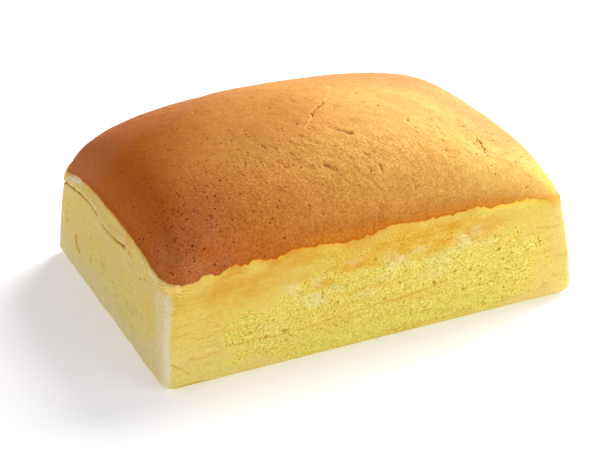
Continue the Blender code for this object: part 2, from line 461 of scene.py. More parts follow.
# Wide pores on each side: place and radius
WIDE_PORES = {
    "front": (
        (-54, 16, 0.9), (-45, 12.4, 1), (-45.6, 16.8, 0.8), (27, 22, 1.3), (37, 25, 0.8), (50, 22, 0.9),
        (10, 26, 0.8), (50, 16, 0.8), (41.5, 15.5, 0.7), (11, 44, 0.7), (35, 43.6, 0.8), (45, 24.4, 0.8),
        (-20, 24, 0.7), (-58, 21, 0.7), (81, 30, 0.7), (-27, 30, 0.8), (2, 19.4, 0.7), (60, 31, 0.7),
        (-69, 17, 0.7),
    ),
    "right": (
        (-24, 18, 1.1), (4, 27, 0.9), (31, 21, 1), (-40, 25, 0.8),
    ),
    "back": (
        (-61, 20, 1.1), (-30, 26, 0.9), (-4, 15, 1.2), (27, 24, 0.9), (48, 14, 1), (66, 27, 0.8),
    ),
}


def wall_columns():
    """The side and the place along it, -1 to 1, of each column of the wrapped sheet."""
    columns = []
    for side, normal in SIDES.items():
        width = WIDTH if normal[0] else LENGTH
        count = int(width / WALL_STEP)
        columns += [(side, along) for along in np.linspace(-1, 1, count, endpoint=False)]
    return columns


def wall_form(columns):
    """The smooth form of the walls: rows up from the table, then on under the crust."""
    rows_up = int(RIM_HEIGHT / WALL_STEP) + 1
    rows_under = int(UNDER_CRUST / WALL_STEP)
    points = np.zeros((rows_up + rows_under, len(columns), 3))
    for side in SIDES:
        picked = np.array([i for i, column in enumerate(columns) if column[0] == side])
        along = np.array([columns[i][1] for i in picked])
        rim = dome_place(side, along, 1.0)
        z = np.linspace(0, 1, rows_up)[:, None] * rim[None, :, 2]
        x, y = outline_stretch(side, along[None, :], *half_sizes(z), corner_radius(z))
        points[:rows_up, picked] = np.stack([x, y, z], axis=-1)
        inwards = np.linspace(0, 1, rows_under + 1)[1:, None]
        share = 1 - UNDER_SHARE * inwards * (0.25 + 0.75 * inwards)
        under = dome_place(side, np.broadcast_to(along, (rows_under, len(along))), share)
        under[..., :2] -= TUCK * smooth(0, 0.5, inwards)[..., None] * np.array(SIDES[side])
        under[..., 2] -= 0.6 * TUCK * inwards
        points[rows_up:, picked] = under
    # The top follows the crust's uneven rim
    below = points[rows_up - 1, :, 2][None, :] - points[..., 2]
    points[..., 2] += rim_sag(points) * smooth(9, 0, below)
    return points, rows_up


def side_places(columns, points):
    """For each point of the walls: its distance to the right of its side's middle."""
    tangents = np.array([(-SIDES[side][1], SIDES[side][0]) for side, _ in columns], float)
    return points[..., 0] * tangents[:, 0] + points[..., 1] * tangents[:, 1]


def on_side(columns, side):
    """1 on one side, and 0 elsewhere."""
    return np.array([float(column[0] == side) for column in columns])[None, :]


def crumb_zone(side, across, z, points):
    """Where a side's skin is worn away and the open crumb shows, 0 to 1."""
    upper, lower = CRUMB_EDGES[side]
    ragged_z = z + 2.2 * noise(points, (9, 9, 4), 3, 3)
    ragged_across = across + 3.2 * noise(points, 6.0, 23, 3)
    top = np.interp(ragged_across, *np.array(upper, float).T)
    bottom = np.interp(ragged_across, *np.array(lower, float).T)
    start, end = upper[0][0], upper[-1][0]
    ends = smooth(start, start + 16, ragged_across) * smooth(end, end - 14, ragged_across)
    zone = smooth(bottom - 1.5, bottom + 2.5, ragged_z) * smooth(top + 1.5, top - 4.0, ragged_z)
    # Higher up the skin is only worn through in patches
    patches = smooth(-0.2, 0.3, noise(points, (13, 13, 5), 4, 3)) * smooth(top - 4, top, z)
    patches *= smooth(RIM_HEIGHT - 0.5, RIM_HEIGHT - 4, z) * smooth(start + 40, start + 52, across)
    whole = 0.8 + 0.2 * smooth(-0.4, 0.2, noise(points, (12, 12, 5), 19, 2))
    return np.maximum(zone * whole, 0.65 * patches) * ends


def ragged_patches(kind, columns, across, z, points):
    """All the patches of one kind, 0 to 1, with soft and uneven edges."""
    bent_across = across + 2.4 * noise(points, 7, 61, 3)
    bent_z = z + 1.1 * noise(points, (9, 9, 5), 62, 3)
    total = np.zeros(z.shape)
    for side, patches in PATCHES[kind].items():
        here = on_side(columns, side)
        for place, height, wide, high, strength in patches:
            # Small patches are bent less
            small = min(1.0, wide / 6, high / 6)
            off_across = across + small * (bent_across - across) - place
            off_z = z + small * (bent_z - z) - height
            away = np.hypot(off_across / wide, off_z / high)
            total = np.maximum(total, strength * smooth(1.15, 0.45, away) * here)
    return np.minimum(total, 1)


def fine_wrinkles(points, size, seed):
    """Thin, long, broken lines that run along the sides, 0 to 1."""
    lines = smooth(0.2, 0.03, np.abs(noise(points, size, seed, 2)))
    return lines * smooth(-0.1, 0.4, noise(points, (10, 10, 3), seed + 40))


def skin_creases(columns, across, z, from_end, points, crumb):
    """Creases and wrinkles of the skin, 0 to 1."""
    total = np.zeros(z.shape)
    bent = z + 0.35 * noise(points, 3, 21, 2)
    for side, lines in CREASES.items():
        for strength, line in lines:
            along_line = near(away_from_line(across, bent, line), 0, 0.18 + 0.12 * strength)
            total = np.maximum(total, strength * along_line * on_side(columns, side))
    total = total * (0.65 + 0.35 * smooth(-0.5, 0.3, noise(points, 5, 24)))
    # The ends of each side are wrinkled, and the crumb is faintly layered
    ends = smooth(27, 14, from_end) * (1 - 0.8 * on_side(columns, "left")) * smooth(42, 34, z)
    lined = fine_wrinkles(points, (15, 15, 2.2), 9) * ends * (1 - 0.8 * crumb) * smooth(3, 8, z)
    layered = fine_wrinkles(points, (24, 24, 3.6), 25) * crumb
    return np.clip(total + 0.34 * lined + 0.3 * layered, 0, 1.2)


def corner_fringe(points, below_rim):
    """The soft fringe of skin under the crust's near corner, 0 to 1, and the folds along it."""
    corner = blob(points[..., 0], points[..., 1], (-HALF_LENGTH, -HALF_WIDTH), (13, 13))
    wavy = below_rim + 0.5 * noise(points, 4, 68, 2)
    fringe = corner * smooth(5.5, 2.5, wavy) * smooth(-1.5, 0.2, below_rim)
    rows = np.abs((below_rim + 0.4 * noise(points, 3.5, 26, 2)) / 1.3 % 1 - 0.5)
    folds = smooth(0.24, 0.06, rows) * smooth(-0.4, 0.4, noise(points, 3, 69, 2))
    return fringe, fringe * folds


def torn_strips(across, below_rim, points):
    """Torn white strips along the left side's rim, one near each of its ends."""
    strips = smooth(-58, -52, across) * smooth(-34, -42, across)
    strips += smooth(46, 52, across) * smooth(64, 61, across)
    strips = strips * near(below_rim + 0.5 * noise(points, 2.5, 63, 2), 1.5, 1.2)
    return np.minimum(1, 1.4 * strips)


def torn_edge(front, left, across, points):
    """Where the skin's top edge is torn and stands out as a lip, 0 to 1."""
    torn = 0.4 * smooth(-4, 10, across) + 0.6 * smooth(47, 51, across)
    torn = torn * smooth(86, 78, across) * front
    ragged = smooth(0.1, 0.5, noise(points * (1, 1, 0), 9, 28, 2))
    return np.maximum(torn, ragged * (1 - left) * (1 - 0.5 * front))


def wall_marks(columns, points, below_rim):
    """Everything that shows on the sides, as values from 0 to 1 at each point."""
    across, z = side_places(columns, points), points[..., 2]
    half = np.where([bool(SIDES[side][0]) for side, _ in columns], HALF_WIDTH, HALF_LENGTH)[None, :]
    from_end = half - np.abs(across)
    front, left = on_side(columns, "front"), on_side(columns, "left")
    marks = {kind: ragged_patches(kind, columns, across, z, points) for kind in PATCHES}
    crumb = np.zeros(z.shape)
    for side in SIDES:
        crumb += BARENESS[side] * crumb_zone(side, across, z, points) * on_side(columns, side)
    crumb = marks["crumb"] = crumb * (1 - 0.3 * marks["amber"])
    marks["white"] = np.maximum(marks["white"], torn_strips(across, below_rim, points) * left)
    # The left side's skin is thicker, with a dull flush
    marks["dull"] = left * smooth(0, 2, below_rim)
    flush = smooth(-0.6, 0.7, noise(points, (9, 5, 8), 27, 4))
    marks["flush"] = left * flush * (1 - 0.7 * marks["lemon"]) * smooth(-0.5, 1.5, below_rim)
    # Painted highlight: the corners are painted pale along their edges
    half_here = np.where(half == HALF_LENGTH, half_sizes(z)[0], half_sizes(z)[1])
    corner = half_here - CORNER_INSET * corner_radius(z)
    to_corner = corner - np.abs(across) + 0.5 * noise(points, (5, 5, 7), 20, 2)
    worn = near(to_corner, 0, 1.0 + 0.6 * smooth(30, 4, z) + 0.8 * left)
    marks["corner_highlight"] = worn * (0.6 + 0.4 * smooth(38, 20, z)) * (1 - 0.8 * smooth(44, 48, z))
    # The left side is paler low down and towards its near corner, and the front's edge there is painted
    # pale as a painted highlight along the corner
    pale_and_highlight = np.maximum(0.85 * smooth(28, 3, z), smooth(half - 16, half - 3, across))
    pale_and_highlight = left * pale_and_highlight * (0.85 + 0.15 * noise(points, 7, 64, 3))
    to_edge = corner + across + 0.7 * noise(points, (3, 3, 4), 65, 2)
    pale_and_highlight = np.maximum(pale_and_highlight, front * smooth(1.8, 0.0, to_edge))
    marks["fringe"], marks["gathered"] = corner_fringe(points, below_rim)
    marks["pale_and_highlight"] = pale_and_highlight * (1 - 0.8 * marks["fringe"])
    # Painted shade: the right end faces the key light, so its colour is painted deeper
    marks["deep"] = on_side(columns, "right") * smooth(8, 20, from_end)
    # The skin is creased and, towards the ends of each side, drawn into fine lines
    marks["crease"] = skin_creases(columns, across, z, from_end, points, crumb)
    drawn = smooth(34, 16, from_end) * (1 - 0.7 * left) * smooth(46, 36, z) * smooth(2, 7, z)
    marks["drawn"] = drawn * smooth(-0.5, 0.4, noise(points, (9, 9, 5), 59, 2)) * (1 - 0.8 * crumb)
    # It is paler low down and towards the right-hand end, and greener at the very foot
    marks["faded"] = np.maximum(smooth(30, 6, z), 0.9 * front * smooth(80, 96, across))
    marks["foot"] = near(z, 0, 2.2)
    bent = z + 0.4 * noise(points, 3, 22)
    fold = near(away_from_line(across, bent, FOLD_LINE), 0, 0.65)
    marks["fold"] = fold * (0.9 + 0.1 * noise(points, 5, 8)) * left
    # Where its top edge isn't torn, it is stained orange and darkened with painted shade under the crust;
    # where it is torn, its lip is painted brighter as a painted highlight
    torn = torn_edge(front, left, across, points)
    marks["lip"] = near(below_rim, 0.6, 0.9 + 0.4 * torn) * torn
    marks["stain_and_shade_under_rim"] = near(below_rim, 0.4, 1.5 + 1.3 * front) * (1 - torn)
    return marks


def wall_pores(columns, points, crumb, rows_up):
    """Open pores, thick in the crumb and rare in the skin; 0 on the surface, 1 at their bottoms."""
    rows, count = crumb.shape
    rng = np.random.default_rng(31)
    warp = [0.3 * noise(points, 1.4, 10), 0.3 * noise(points, 1.4, 11)]
    area = rows_up * count * WALL_STEP**2
    chance = np.maximum(crumb, SKIN_PORES)
    depth = np.zeros((rows, count))
    for per_area, radii, deepest in PORES:
        pits = random_pits(
            rng, (0, 0), (rows_up - 1, count - 1), int(area * per_area), chance, radii, WALL_STEP, warp)
        depth = np.maximum(depth, deepest * pits)
    across, z = side_places(columns, points), points[..., 2]
    bent_across, bent_z = across + 1.5 * warp[0], z + 1.5 * warp[1]
    for side, pores in WIDE_PORES.items():
        for place, height, radius in pores:
            away = np.hypot(bent_across - place, bent_z - height) / radius
            depth = np.maximum(depth, np.clip(1.1 - away**2, 0, 1) * on_side(columns, side))
    return depth


def wall_relief(points, marks, below_rim):
    """How far each point stands out of the smooth form, in millimetres."""
    crumb = marks["crumb"]
    relief = 0.30 * noise(points, 34, 12) + 0.12 * noise(points, 11, 13)
    relief += 0.05 * noise(points, (5, 5, 2.6), 14, 2)
    relief += crumb * (0.05 * noise(points, 1.2, 15, 2) - 0.06)
    relief += crumb * 0.05 * noise(points, (30, 30, 2.4), 16)
    relief += 0.10 * marks["pale"] * noise(points, 1.2, 17, 2)
    relief -= 0.40 * marks["pore"] + 0.22 * marks["crease"] + 0.25 * marks["gathered"]
    # This is the fold's crease, and left_fold makes the bulge above it
    relief -= 1.3 * marks["fold"]
    # Close under the crust the skin stays within the crust's rim, but for its torn edge
    relief *= 0.25 + 0.75 * smooth(0.5, 5.0, below_rim)
    return relief + 0.25 * marks["lip"]


def left_fold(columns, points):
    """The fold of skin on the left, which stands out between its crease and the crust."""
    across, z = side_places(columns, points), points[..., 2]
    line = np.interp(across, *np.array(FOLD_LINE, float).T)
    above = smooth(-0.3, 1.0, z - line) * smooth(6.5, 2.5, z - line)
    along = smooth(-76, -56, across) * smooth(26, 12, across)
    rolled = 1 + 0.12 * noise(points, (5, 5, 3), 58, 2)
    return 0.9 * rolled * above * along * on_side(columns, "left")


def make_walls(material):
    columns = wall_columns()
    points, rows_up = wall_form(columns)
    outwards = sheet_normals(points, wraps=True)
    below_rim = points[rows_up - 1, :, 2][None, :] - points[..., 2]
    marks = wall_marks(columns, points, below_rim)
    marks["pore"] = wall_pores(columns, points, marks["crumb"], rows_up)
    relief = wall_relief(points, marks, below_rim) + left_fold(columns, points)
    # Nothing moves at the very bottom, nor where the sheet lies under the crust
    relief *= smooth(0, 2.0, points[..., 2])
    relief[rows_up:] *= np.linspace(1, -2, len(points) - rows_up).clip(0)[:, None]
    points = points + relief[..., None] * outwards
    points[..., 2] = np.maximum(points[..., 2], 0)
    points[0, :, 2] = 0
    normals = sheet_normals(points, wraps=True)
    places = np.stack(np.meshgrid(
        np.arange(len(columns)) * WALL_STEP, np.arange(len(points)) * WALL_STEP), axis=-1)
    made = []
    for side in SIDES:
        picked = [i for i, column in enumerate(columns) if column[0] == side]
        # Each side shares the last of its columns with the next side
        picked.append((picked[-1] + 1) % len(columns))
        spread = places[:, :len(picked)]
        own = {mark: values[:, picked] for mark, values in marks.items()}
        made.append(sheet_piece(
            "side_" + side, points[:, picked], normals[:, picked], own, spread, material))
    return made, points[0]


def make_underside(edge, material):
    """The flat underside, in rings that shrink from the walls' lowest edge."""
    shares = (1.0, 0.995, 0.96, 0.8, 0.55, 0.3, 0.1, 0.01)
    ring = np.concatenate([edge, edge[:1]])[::-1]
    points = np.stack([ring * (share, share, 1) for share in shares])
    normals = np.broadcast_to((0.0, 0.0, -1.0), points.shape)
    marks = {mark: np.zeros(points.shape[:2]) for mark in ("crumb", "pore")}
    return sheet_piece("underside", points, normals, marks, points[..., :2], material)


# ---------------------------------------------------------------- the crust

# The crack over the middle, in three stretches, and the split near the right-hand end:
# how deep each is, how far its left edge stands up, and its line, (x, y)
CRACKS = (
    (0.08, 0.14, ((10, 21), (14.4, 13), (14.4, 6.5), (8.6, -3.9), (5.3, -7.5))),
    (0.60, 0.14, ((2.4, -9.2), (0.6, -10.1), (-2.0, -12.3), (-4.8, -14.1), (-6.4, -16.3), (-6.9, -18.9))),
    (0.18, 0.12, ((-6.9, -18.9), (-9.0, -20.7), (-11.6, -23.0), (-14.2, -25.9))),
    (0.80, 0.10, ((60.5, -44.5), (60.8, -47.5), (60.2, -51.5), (59.2, -54.5))),
)
# Dents: the place, (x, y), of the deep end and of the shallow end, how deep, and how wide
DENTS = (
    ((-36.5, -29.5), (-33.8, -31.5), 0.4, 0.55), ((-31.9, -34.3), (-33.8, -32.2), 0.45, 0.5),
    ((-27.2, -38.6), (-25.8, -40.6), 0.35, 0.5), ((-32.5, -44.1), (-31.5, -45), 0.35, 0.6),
    ((-14, -36.9), (-17.3, -34.8), 0.32, 0.55), ((-16.3, -48.8), (-13, -51.7), 0.65, 0.8),
    ((3.2, -34.2), (-2.4, -30.5), 0.65, 0.85), ((-4.2, -52.2), (-3.4, -53), 0.28, 0.5),
    ((4.2, -48), (3.2, -45.8), 0.32, 0.7), ((7.4, -47.7), (10.5, -46.8), 0.3, 0.6),
    ((7.6, -53.4), (7, -56.2), 0.6, 0.55), ((5.6, -59.2), (6.4, -61), 0.28, 0.5),
    ((25.2, -17.6), (24, -16.8), 0.45, 1), ((33, -31.2), (32.2, -30.4), 0.5, 0.8),
    ((49.1, -10.8), (52, -12), 0.3, 0.6), ((48.2, -25), (47.6, -24), 0.32, 0.6),
    ((45.4, -37.1), (44.9, -40.8), 0.34, 0.5), ((44.6, -41.6), (44.4, -42.6), 0.38, 0.45),
    ((20.7, -58.9), (20.5, -59.5), 0.4, 0.55), ((20.2, -62.3), (22.8, -62.6), 0.32, 0.45),
    ((-23.9, -8.4), (-21.5, -10.5), 0.22, 0.9), ((-18.5, -30.2), (-21.8, -29.4), 0.34, 0.45),
    ((-24.4, -23.9), (-28.5, -22.5), 0.24, 0.9), ((-47, -6), (-43, -7.5), 0.2, 0.7),
    ((-38, -15), (-36, -18), 0.22, 0.7), ((15, -44), (16.2, -46.8), 0.3, 0.55),
    ((-24, -47), (-22.6, -49.6), 0.3, 0.55), ((-6, -43), (-4.6, -45.2), 0.28, 0.5),
    ((62, -24), (64, -25), 0.3, 0.5), ((30, -47), (31.2, -49.8), 0.26, 0.5),
    ((-60, 30), (-57, 31), 0.28, 0.6), ((-10, 35), (-6, 36.2), 0.4, 0.75),
    ((30, 40), (28, 37.8), 0.36, 0.7), ((60, 22), (62.4, 24), 0.3, 0.6),
    ((-35, 46), (-33, 43.6), 0.38, 0.6), ((8, 50), (10.6, 51.4), 0.3, 0.6),
    ((-48, 18), (-46, 20.6), 0.26, 0.6), ((44, 8), (46.4, 7), 0.26, 0.6), ((66, -2), (67.4, 1), 0.28, 0.5),
    ((-70, -4), (-68.6, -6.4), 0.24, 0.5),
)
# The lip's section below the rim: (outwards, up), from its outer face round to under the crust
LIP_PROFILE = ((0.12, -0.20), (0.14, -0.42), (0.0, -0.62), (-0.35, -0.66), (-1.3, -0.2))
CRACK_REACH = 0.40      # half the width of a crack
RIDGE_REACH = 0.60      # half the width of its raised edge
RIDGE_OFFSET = 0.9      # how far to the left of the crack that lies
PORES_PER_AREA = 0.016  # wide pin pores per mm2, where the crust is most porous
PIN_RADII = (0.45, 0.72)    # their least and greatest radius
LIP_LEVEL = 1e-4        # how far apart the lip's grid lines are, as a share of the crust's half
TURN_POWER = 8          # the higher, the later the way outwards turns round a corner
# The line along which the crust's right-hand shoulder is painted rosier and darker, as painted shade where
# the key light falls strongest, (x, y)
ROSY_SHADE_LINE = ((38, -10), (52, -30), (74, -47))


def dome_shares():
    """Shares of the rim's size that are evenly spaced along the crust's surface."""
    share = np.linspace(0, 1, 3000)
    rise = SHOULDER * (1 - share**SHOULDER_POWER) + CROWN * (1 - share**CROWN_POWER)
    steps = np.hypot(np.diff(share) * (HALF_LENGTH + HALF_WIDTH) / 2, np.diff(rise))
    run = np.concatenate([[0], np.cumsum(steps)])
    return run / run[-1], share, run[-1]


def crust_levels(half):
    """Grid lines across the crust, -1 to 1 over the dome, and just past that for the lip."""
    inner = np.linspace(-1, 1, 2 * int(half / CRUST_STEP) + 1)
    lip = 1 + LIP_LEVEL * np.arange(1, len(LIP_PROFILE) + 1)
    return np.concatenate([-lip[::-1], inner, lip])


def crust_form():
    """The smooth form of the crust as a grid, with the distance in from the rim."""
    runs, shares, reach = dome_shares()
    extra = reach - (HALF_LENGTH + HALF_WIDTH) / 2
    halves = (HALF_LENGTH + extra, HALF_WIDTH + extra)
    p, q = np.meshgrid(crust_levels(halves[0]), crust_levels(halves[1]))
    ring = np.maximum(np.abs(p), np.abs(q))
    share = np.interp(np.minimum(ring, 1), runs, shares)
    points = np.zeros(p.shape + (3,))
    lengthwise = np.abs(p) > np.abs(q)
    quarters = {
        "front": (~lengthwise & (q <= 0), p), "back": (~lengthwise & (q > 0), -p),
        "right": (lengthwise & (p > 0), q), "left": (lengthwise & (p <= 0), -q),
    }
    for side, (where, along) in quarters.items():
        place = along[where] / np.maximum(ring[where], TINY)
        points[where] = dome_place(side, place, share[where])
    level = np.round(np.maximum(0, ring - 1) / LIP_LEVEL).astype(int)
    inwards = (1 - np.minimum(ring, 1)) * reach
    plan = points[..., :2] / (HALF_LENGTH, HALF_WIDTH)
    plan = plan * np.abs(plan) ** TURN_POWER
    outwards = plan / np.maximum(np.linalg.norm(plan, axis=-1, keepdims=True), TINY)
    spread = np.stack([p, q], axis=-1)
    lip_steps = np.maximum(0, np.abs(spread) - 1) / LIP_LEVEL * CRUST_STEP / HALF_LENGTH
    spread = np.sign(spread) * (np.minimum(np.abs(spread), 1) + lip_steps) * halves
    return points, outwards, inwards, level, spread


def crust_dents(points):
    """How deep each place lies in a dent or a crack, in millimetres, and how far it stands up."""
    bent_x = points[..., 0] + 0.35 * noise(points, 2.2, 40, 2)
    bent_y = points[..., 1] + 0.35 * noise(points, 2.2, 54, 2)
    depth, ridge = np.zeros(bent_x.shape), np.zeros(bent_x.shape)
    for start, end, deep, wide in DENTS:
        from_start = np.hypot(bent_x - start[0], bent_y - start[1])
        rows, columns = np.where(from_start < math.dist(start, end) + 4 * wide)
        along, away = from_stretch(bent_x[rows, columns], bent_y[rows, columns], start, end)
        here = deep * (1 - 0.75 * along) * near(away, 0, 1.3 * wide * (1 - 0.3 * along))
        depth[rows, columns] = np.maximum(depth[rows, columns], here)
    bent_x = bent_x + 0.35 * noise(points, 1.5, 66, 2)
    for deep, raised, line in CRACKS:
        away = away_from_line(bent_x, bent_y, line)
        depth = np.maximum(depth, deep * near(away, 0, CRACK_REACH))
        away = away_from_line(bent_x + RIDGE_OFFSET, bent_y, line)
        ridge = np.maximum(ridge, raised * near(away, 0, RIDGE_REACH))
    return depth, ridge


def brownness_and_shade(points):
    """How far browned the crust is, 0 to 1: paler to the right, browner at the back and in front. This is
    partly uneven browning and partly painted light: paler towards the key light on the right, darker away
    from it on the left, and browner at the back right as painted shade where the key light falls strongly.
    """
    x, y, z = points[..., 0], points[..., 1], points[..., 2]
    brown_and_shade = 0.47 - 0.0064 * x + 0.12 * noise(points, 45, 51) - 0.004 * (z - 70)
    brown_and_shade += 0.06 * blob(x, y, (-55, 20), (34, 34)) + 0.14 * blob(x, y, (-60, -8), (24, 20))
    brown_and_shade += 0.07 * smooth(-5, 25, y) + 0.08 * smooth(-15, 30, y)
    brown_and_shade += 0.5 * smooth(-5, 50, y) * smooth(0, 75, x) + 0.17 * smooth(-30, -64, y) * smooth(-75, 0, x)
    brown_and_shade -= (0.08 * smooth(-10, 20, x) + 0.1 * smooth(40, 56, x)) * smooth(10, -20, y)
    return np.clip(brown_and_shade, 0, 1)


def crust_marks(points, inwards):
    """Everything that shows on the crust, as values from 0 to 1 at each point."""
    x, y, z = points[..., 0], points[..., 1], points[..., 2]
    marks = {"brown_and_shade": brownness_and_shade(points), "coarse": smooth(-15, -48, y)}
    marks["dent"], marks["ridge"] = crust_dents(points)
    # The rim's thin line is dark orange, partly its own colour and partly painted shadow under the lip.
    # Inside it the colour is deeper and yellower along the front, and towards its right-hand end paler as
    # a painted highlight
    marks["edge"] = near(inwards, 0, 0.5) * (1 - 0.35 * smooth(-20, 20, x) - 0.35 * smooth(38, 62, x))
    marks["band"] = near(inwards, 0, 9.0) * (0.7 + 0.75 * smooth(-70, -10, x))
    marks["rind"] = near(inwards, 1.2, 2.4) * smooth(-52, -20, x) * smooth(0, -35, y)
    marks["golden_highlight"] = smooth(58, 92, x) * near(inwards, 0, 13) * smooth(0, -35, y)
    # Painted shade: it is rosier and darker where the key light falls strongest, where it turns down at
    # the right, at the back and along its right-hand shoulder
    marks["rosy_painted_shade"] = np.maximum.reduce([
        smooth(22, 64, x + 0.5 * y) * smooth(-72, -40, y) * smooth(16, 40, x),
        0.75 * smooth(-16, 14, y) * smooth(-30, 30, x),
        0.48 * blob(x, y, (38, -20), (26, 18)),
        0.74 * near(away_from_line(x, y, ROSY_SHADE_LINE), 0, 11),
    ])
    # A dull flush lies over its near corner and over the left of its back
    flush = blob(x, y, (-82, -60), (17, 17)) * (0.7 + 0.3 * noise(points, 6, 55, 2))
    marks["flush"] = np.maximum(flush, 0.5 * smooth(8, 34, y) * smooth(62, 12, x))
    # The skin is drawn into fine wrinkles, most of all over the front's middle
    slanted = np.stack([0.87 * x + 0.5 * y, 0.87 * y - 0.5 * x, z], axis=-1)
    dashes = smooth(0.15, 0.75, noise(slanted, (1.5, 4.6, 4.0), 46, 2))
    marks["furrow"] = dashes * (0.3 + 0.7 * blob(x, y, (-5, -46), (62, 26)))
    porous = 0.1 + 0.9 * blob(x, y, (-80, -43), (36, 28))
    porous = np.maximum(porous, blob(x, y, (66, -48), (18, 13)))
    marks["porous"] = porous * (0.6 + 0.4 * smooth(-0.3, 0.5, noise(points, 16, 43)))
    return marks


def crust_pores(points, porous, inwards):
    """The widest pin pores in the crust, most of them at the front's left."""
    rows, columns = porous.shape
    warp = [0.1 * noise(points, 1.6, 41), 0.1 * noise(points, 1.6, 42)]
    count = int(PORES_PER_AREA * rows * columns * CRUST_STEP**2)
    return random_pits(
        np.random.default_rng(52), (3, 3), (rows - 4, columns - 4), count,
        porous * smooth(0.5, 2, inwards), PIN_RADII, CRUST_STEP, warp)


def crust_relief(points, marks):
    """How far each point stands out of the smooth crust, in millimetres."""
    relief = 0.30 * noise(points, 38, 44) + 0.10 * noise(points, 13, 45, 2)
    relief += 0.05 * noise(points, 3.2, 47, 2) - 0.09 * marks["furrow"]
    relief += 0.03 * noise(points, 1.2, 57)
    return relief - 1.1 * marks["dent"] + marks["ridge"] - 0.3 * marks["pore"]


def make_crust(material):
    points, outwards, inwards, level, spread = crust_form()
    marks = crust_marks(points, inwards)
    marks["pore"] = crust_pores(points, marks["porous"], inwards)
    normals = sheet_normals(points)
    normals[level > 0] = 0
    relief = crust_relief(points, marks)
    sag = rim_sag(points) * near(inwards, 0, 2.6)
    points = points + (relief * smooth(0, 2.0, inwards))[..., None] * normals
    # The rim hangs unevenly and stands just proud of the sides, which lean out below it
    proud = 0.26 * near(inwards, 0, 1.6) + 0.1 * np.maximum(0, -sag)
    # The right-hand end's near corner is full above its rim
    full = blob(points[..., 0], points[..., 1], (90, -64), (16, 16))
    proud += 0.9 * near(inwards, 4.5, 3) * full
    points[..., 2] += sag
    points[..., :2] += outwards * proud[..., None]
    profile = np.array(((0.0, 0.0),) + LIP_PROFILE)
    thick = 1 + 0.35 * noise(points * (1, 1, 0), 5, 50)
    points[..., :2] += outwards * profile[level][..., 0][..., None]
    points[..., 2] += profile[level][..., 1] * thick
    normals = sheet_normals(points)
    marks["under"] = np.clip(level / 2.0, 0, 1)
    middle = points.shape[0] // 2
    made = []
    for name, rows in (("crust_front", slice(0, middle + 1)), ("crust_back", slice(middle, None))):
        own = {mark: values[rows] for mark, values in marks.items()}
        made.append(sheet_piece(name, points[rows], normals[rows], own, spread[rows], material))
    return made


# ---------------------------------------------------------------- materials

class Shader:
    """A material's node tree, with short ways to add the nodes that this loaf needs."""

    def __init__(self, name):
        self.material = bpy.data.materials.new(name)
        self.material.use_nodes = True
        self.tree = self.material.node_tree
        self.surface = self.tree.nodes["Principled BSDF"]
        self.place = self.tree.nodes.new("ShaderNodeTexCoord").outputs["Object"]

    def feed(self, socket, value):
        if isinstance(value, bpy.types.NodeSocket):
            self.tree.links.new(value, socket)
        else:
            socket.default_value = value

    def node(self, kind, inputs, **settings):
        """Adds a node of a kind, with its inputs fed and its settings made, and gives its outputs."""
        node = self.tree.nodes.new("ShaderNode" + kind)
        for setting, value in settings.items():
            setattr(node, setting, value)
        for socket, value in inputs.items():
            self.feed(node.inputs[socket], value)
        return node.outputs

    def mark(self, name):
        return self.node("Attribute", {}, attribute_name=name)["Fac"]

    def places(self, spans, start):
        """The loaf's places counted in spans, so many millimetres each way, from a start."""
        scale = [1 / (span * MM) for span in spans]
        return self.node("Mapping", {"Vector": self.place, "Scale": scale, "Location": start})["Vector"]

    def noise(self, size, detail=2.0, stretch=(1, 1, 1), seed=0.0):
        """Random values, about 0.3 to 0.7, with features of the given size in millimetres."""
        vector = self.places([size * part for part in stretch], (seed, seed * 0.7, -seed))
        return self.node("TexNoise", {"Vector": vector, "Scale": 1.0, "Detail": detail})["Fac"]

    def spots(self, size, reach, kept=1.0, seed=0.0):
        """Scattered round spots, 1 inside and 0 outside, with radii up to reach, in millimetres.

        They lie about a size apart, and kept, which may vary over the surface, is the share left.
        """
        vector = self.places([size] * 3, (seed, seed * 1.3, seed * 0.6))
        cells = self.node("TexVoronoi", {"Vector": vector, "Scale": 1.0})
        chance = self.node("SeparateColor", {"Color": cells["Color"]})["Red"]
        lot = self.maths("SUBTRACT", self.maths("ADD", chance, kept), 1.0)
        share = self.between(lot, 0.0, 1.0, 0.5, 1.0)
        radius = self.times(self.times(share, self.maths("GREATER_THAN", lot, 0.0)), reach / size)
        return self.between(self.maths("SUBTRACT", radius, cells["Distance"]), 0.0, 0.12 / size)

    def between(self, value, low, high, out_low=0.0, out_high=1.0):
        """The value's place between low and high, kept within the two results."""
        return self.node("MapRange", {
            "Value": value, "From Min": low, "From Max": high, "To Min": out_low, "To Max": out_high,
        })["Result"]

    def maths(self, operation, first, second):
        return self.node("Math", {0: first, 1: second}, operation=operation)[0]

    def times(self, first, second):
        return self.maths("MULTIPLY", first, second)

    def mix(self, amount, below, above, how="MIX"):
        return self.node("Mix", {0: amount, 6: below, 7: above}, data_type="RGBA", blend_type=how)[2]

    def filtered(self, base, amount, factors):
        """The colour with its red, green and blue multiplied, as far as the amount says."""
        return self.mix(amount, base, (*factors, 1.0), "MULTIPLY")

    def tinted(self, base, tints):
        """The colour under several tints: each a mark, how strongly it shows, and its colour."""
        for mark, strength, tint in tints:
            base = self.mix(self.times(self.mark(mark), strength), base, colour(*tint))
        return base

    def bump(self, height, distance, strength=1.0, under=None):
        inputs = {"Height": height, "Distance": distance * MM, "Strength": strength}
        if under is not None:
            inputs["Normal"] = under
        return self.node("Bump", inputs)["Normal"]

    def finish(self, values):
        """Sets the surface's own values and gives the material."""
        for socket, value in values.items():
            self.feed(self.surface.inputs[socket], value)
        return self.material


def colour(red, green, blue):
    """A colour given as it looks on a screen, 0 to 255, as the linear values that nodes take."""
    def linear(value):
        value = value / 255
        return value / 12.92 if value <= 0.04045 else ((value + 0.055) / 1.055) ** 2.4
    return (linear(red), linear(green), linear(blue), 1.0)


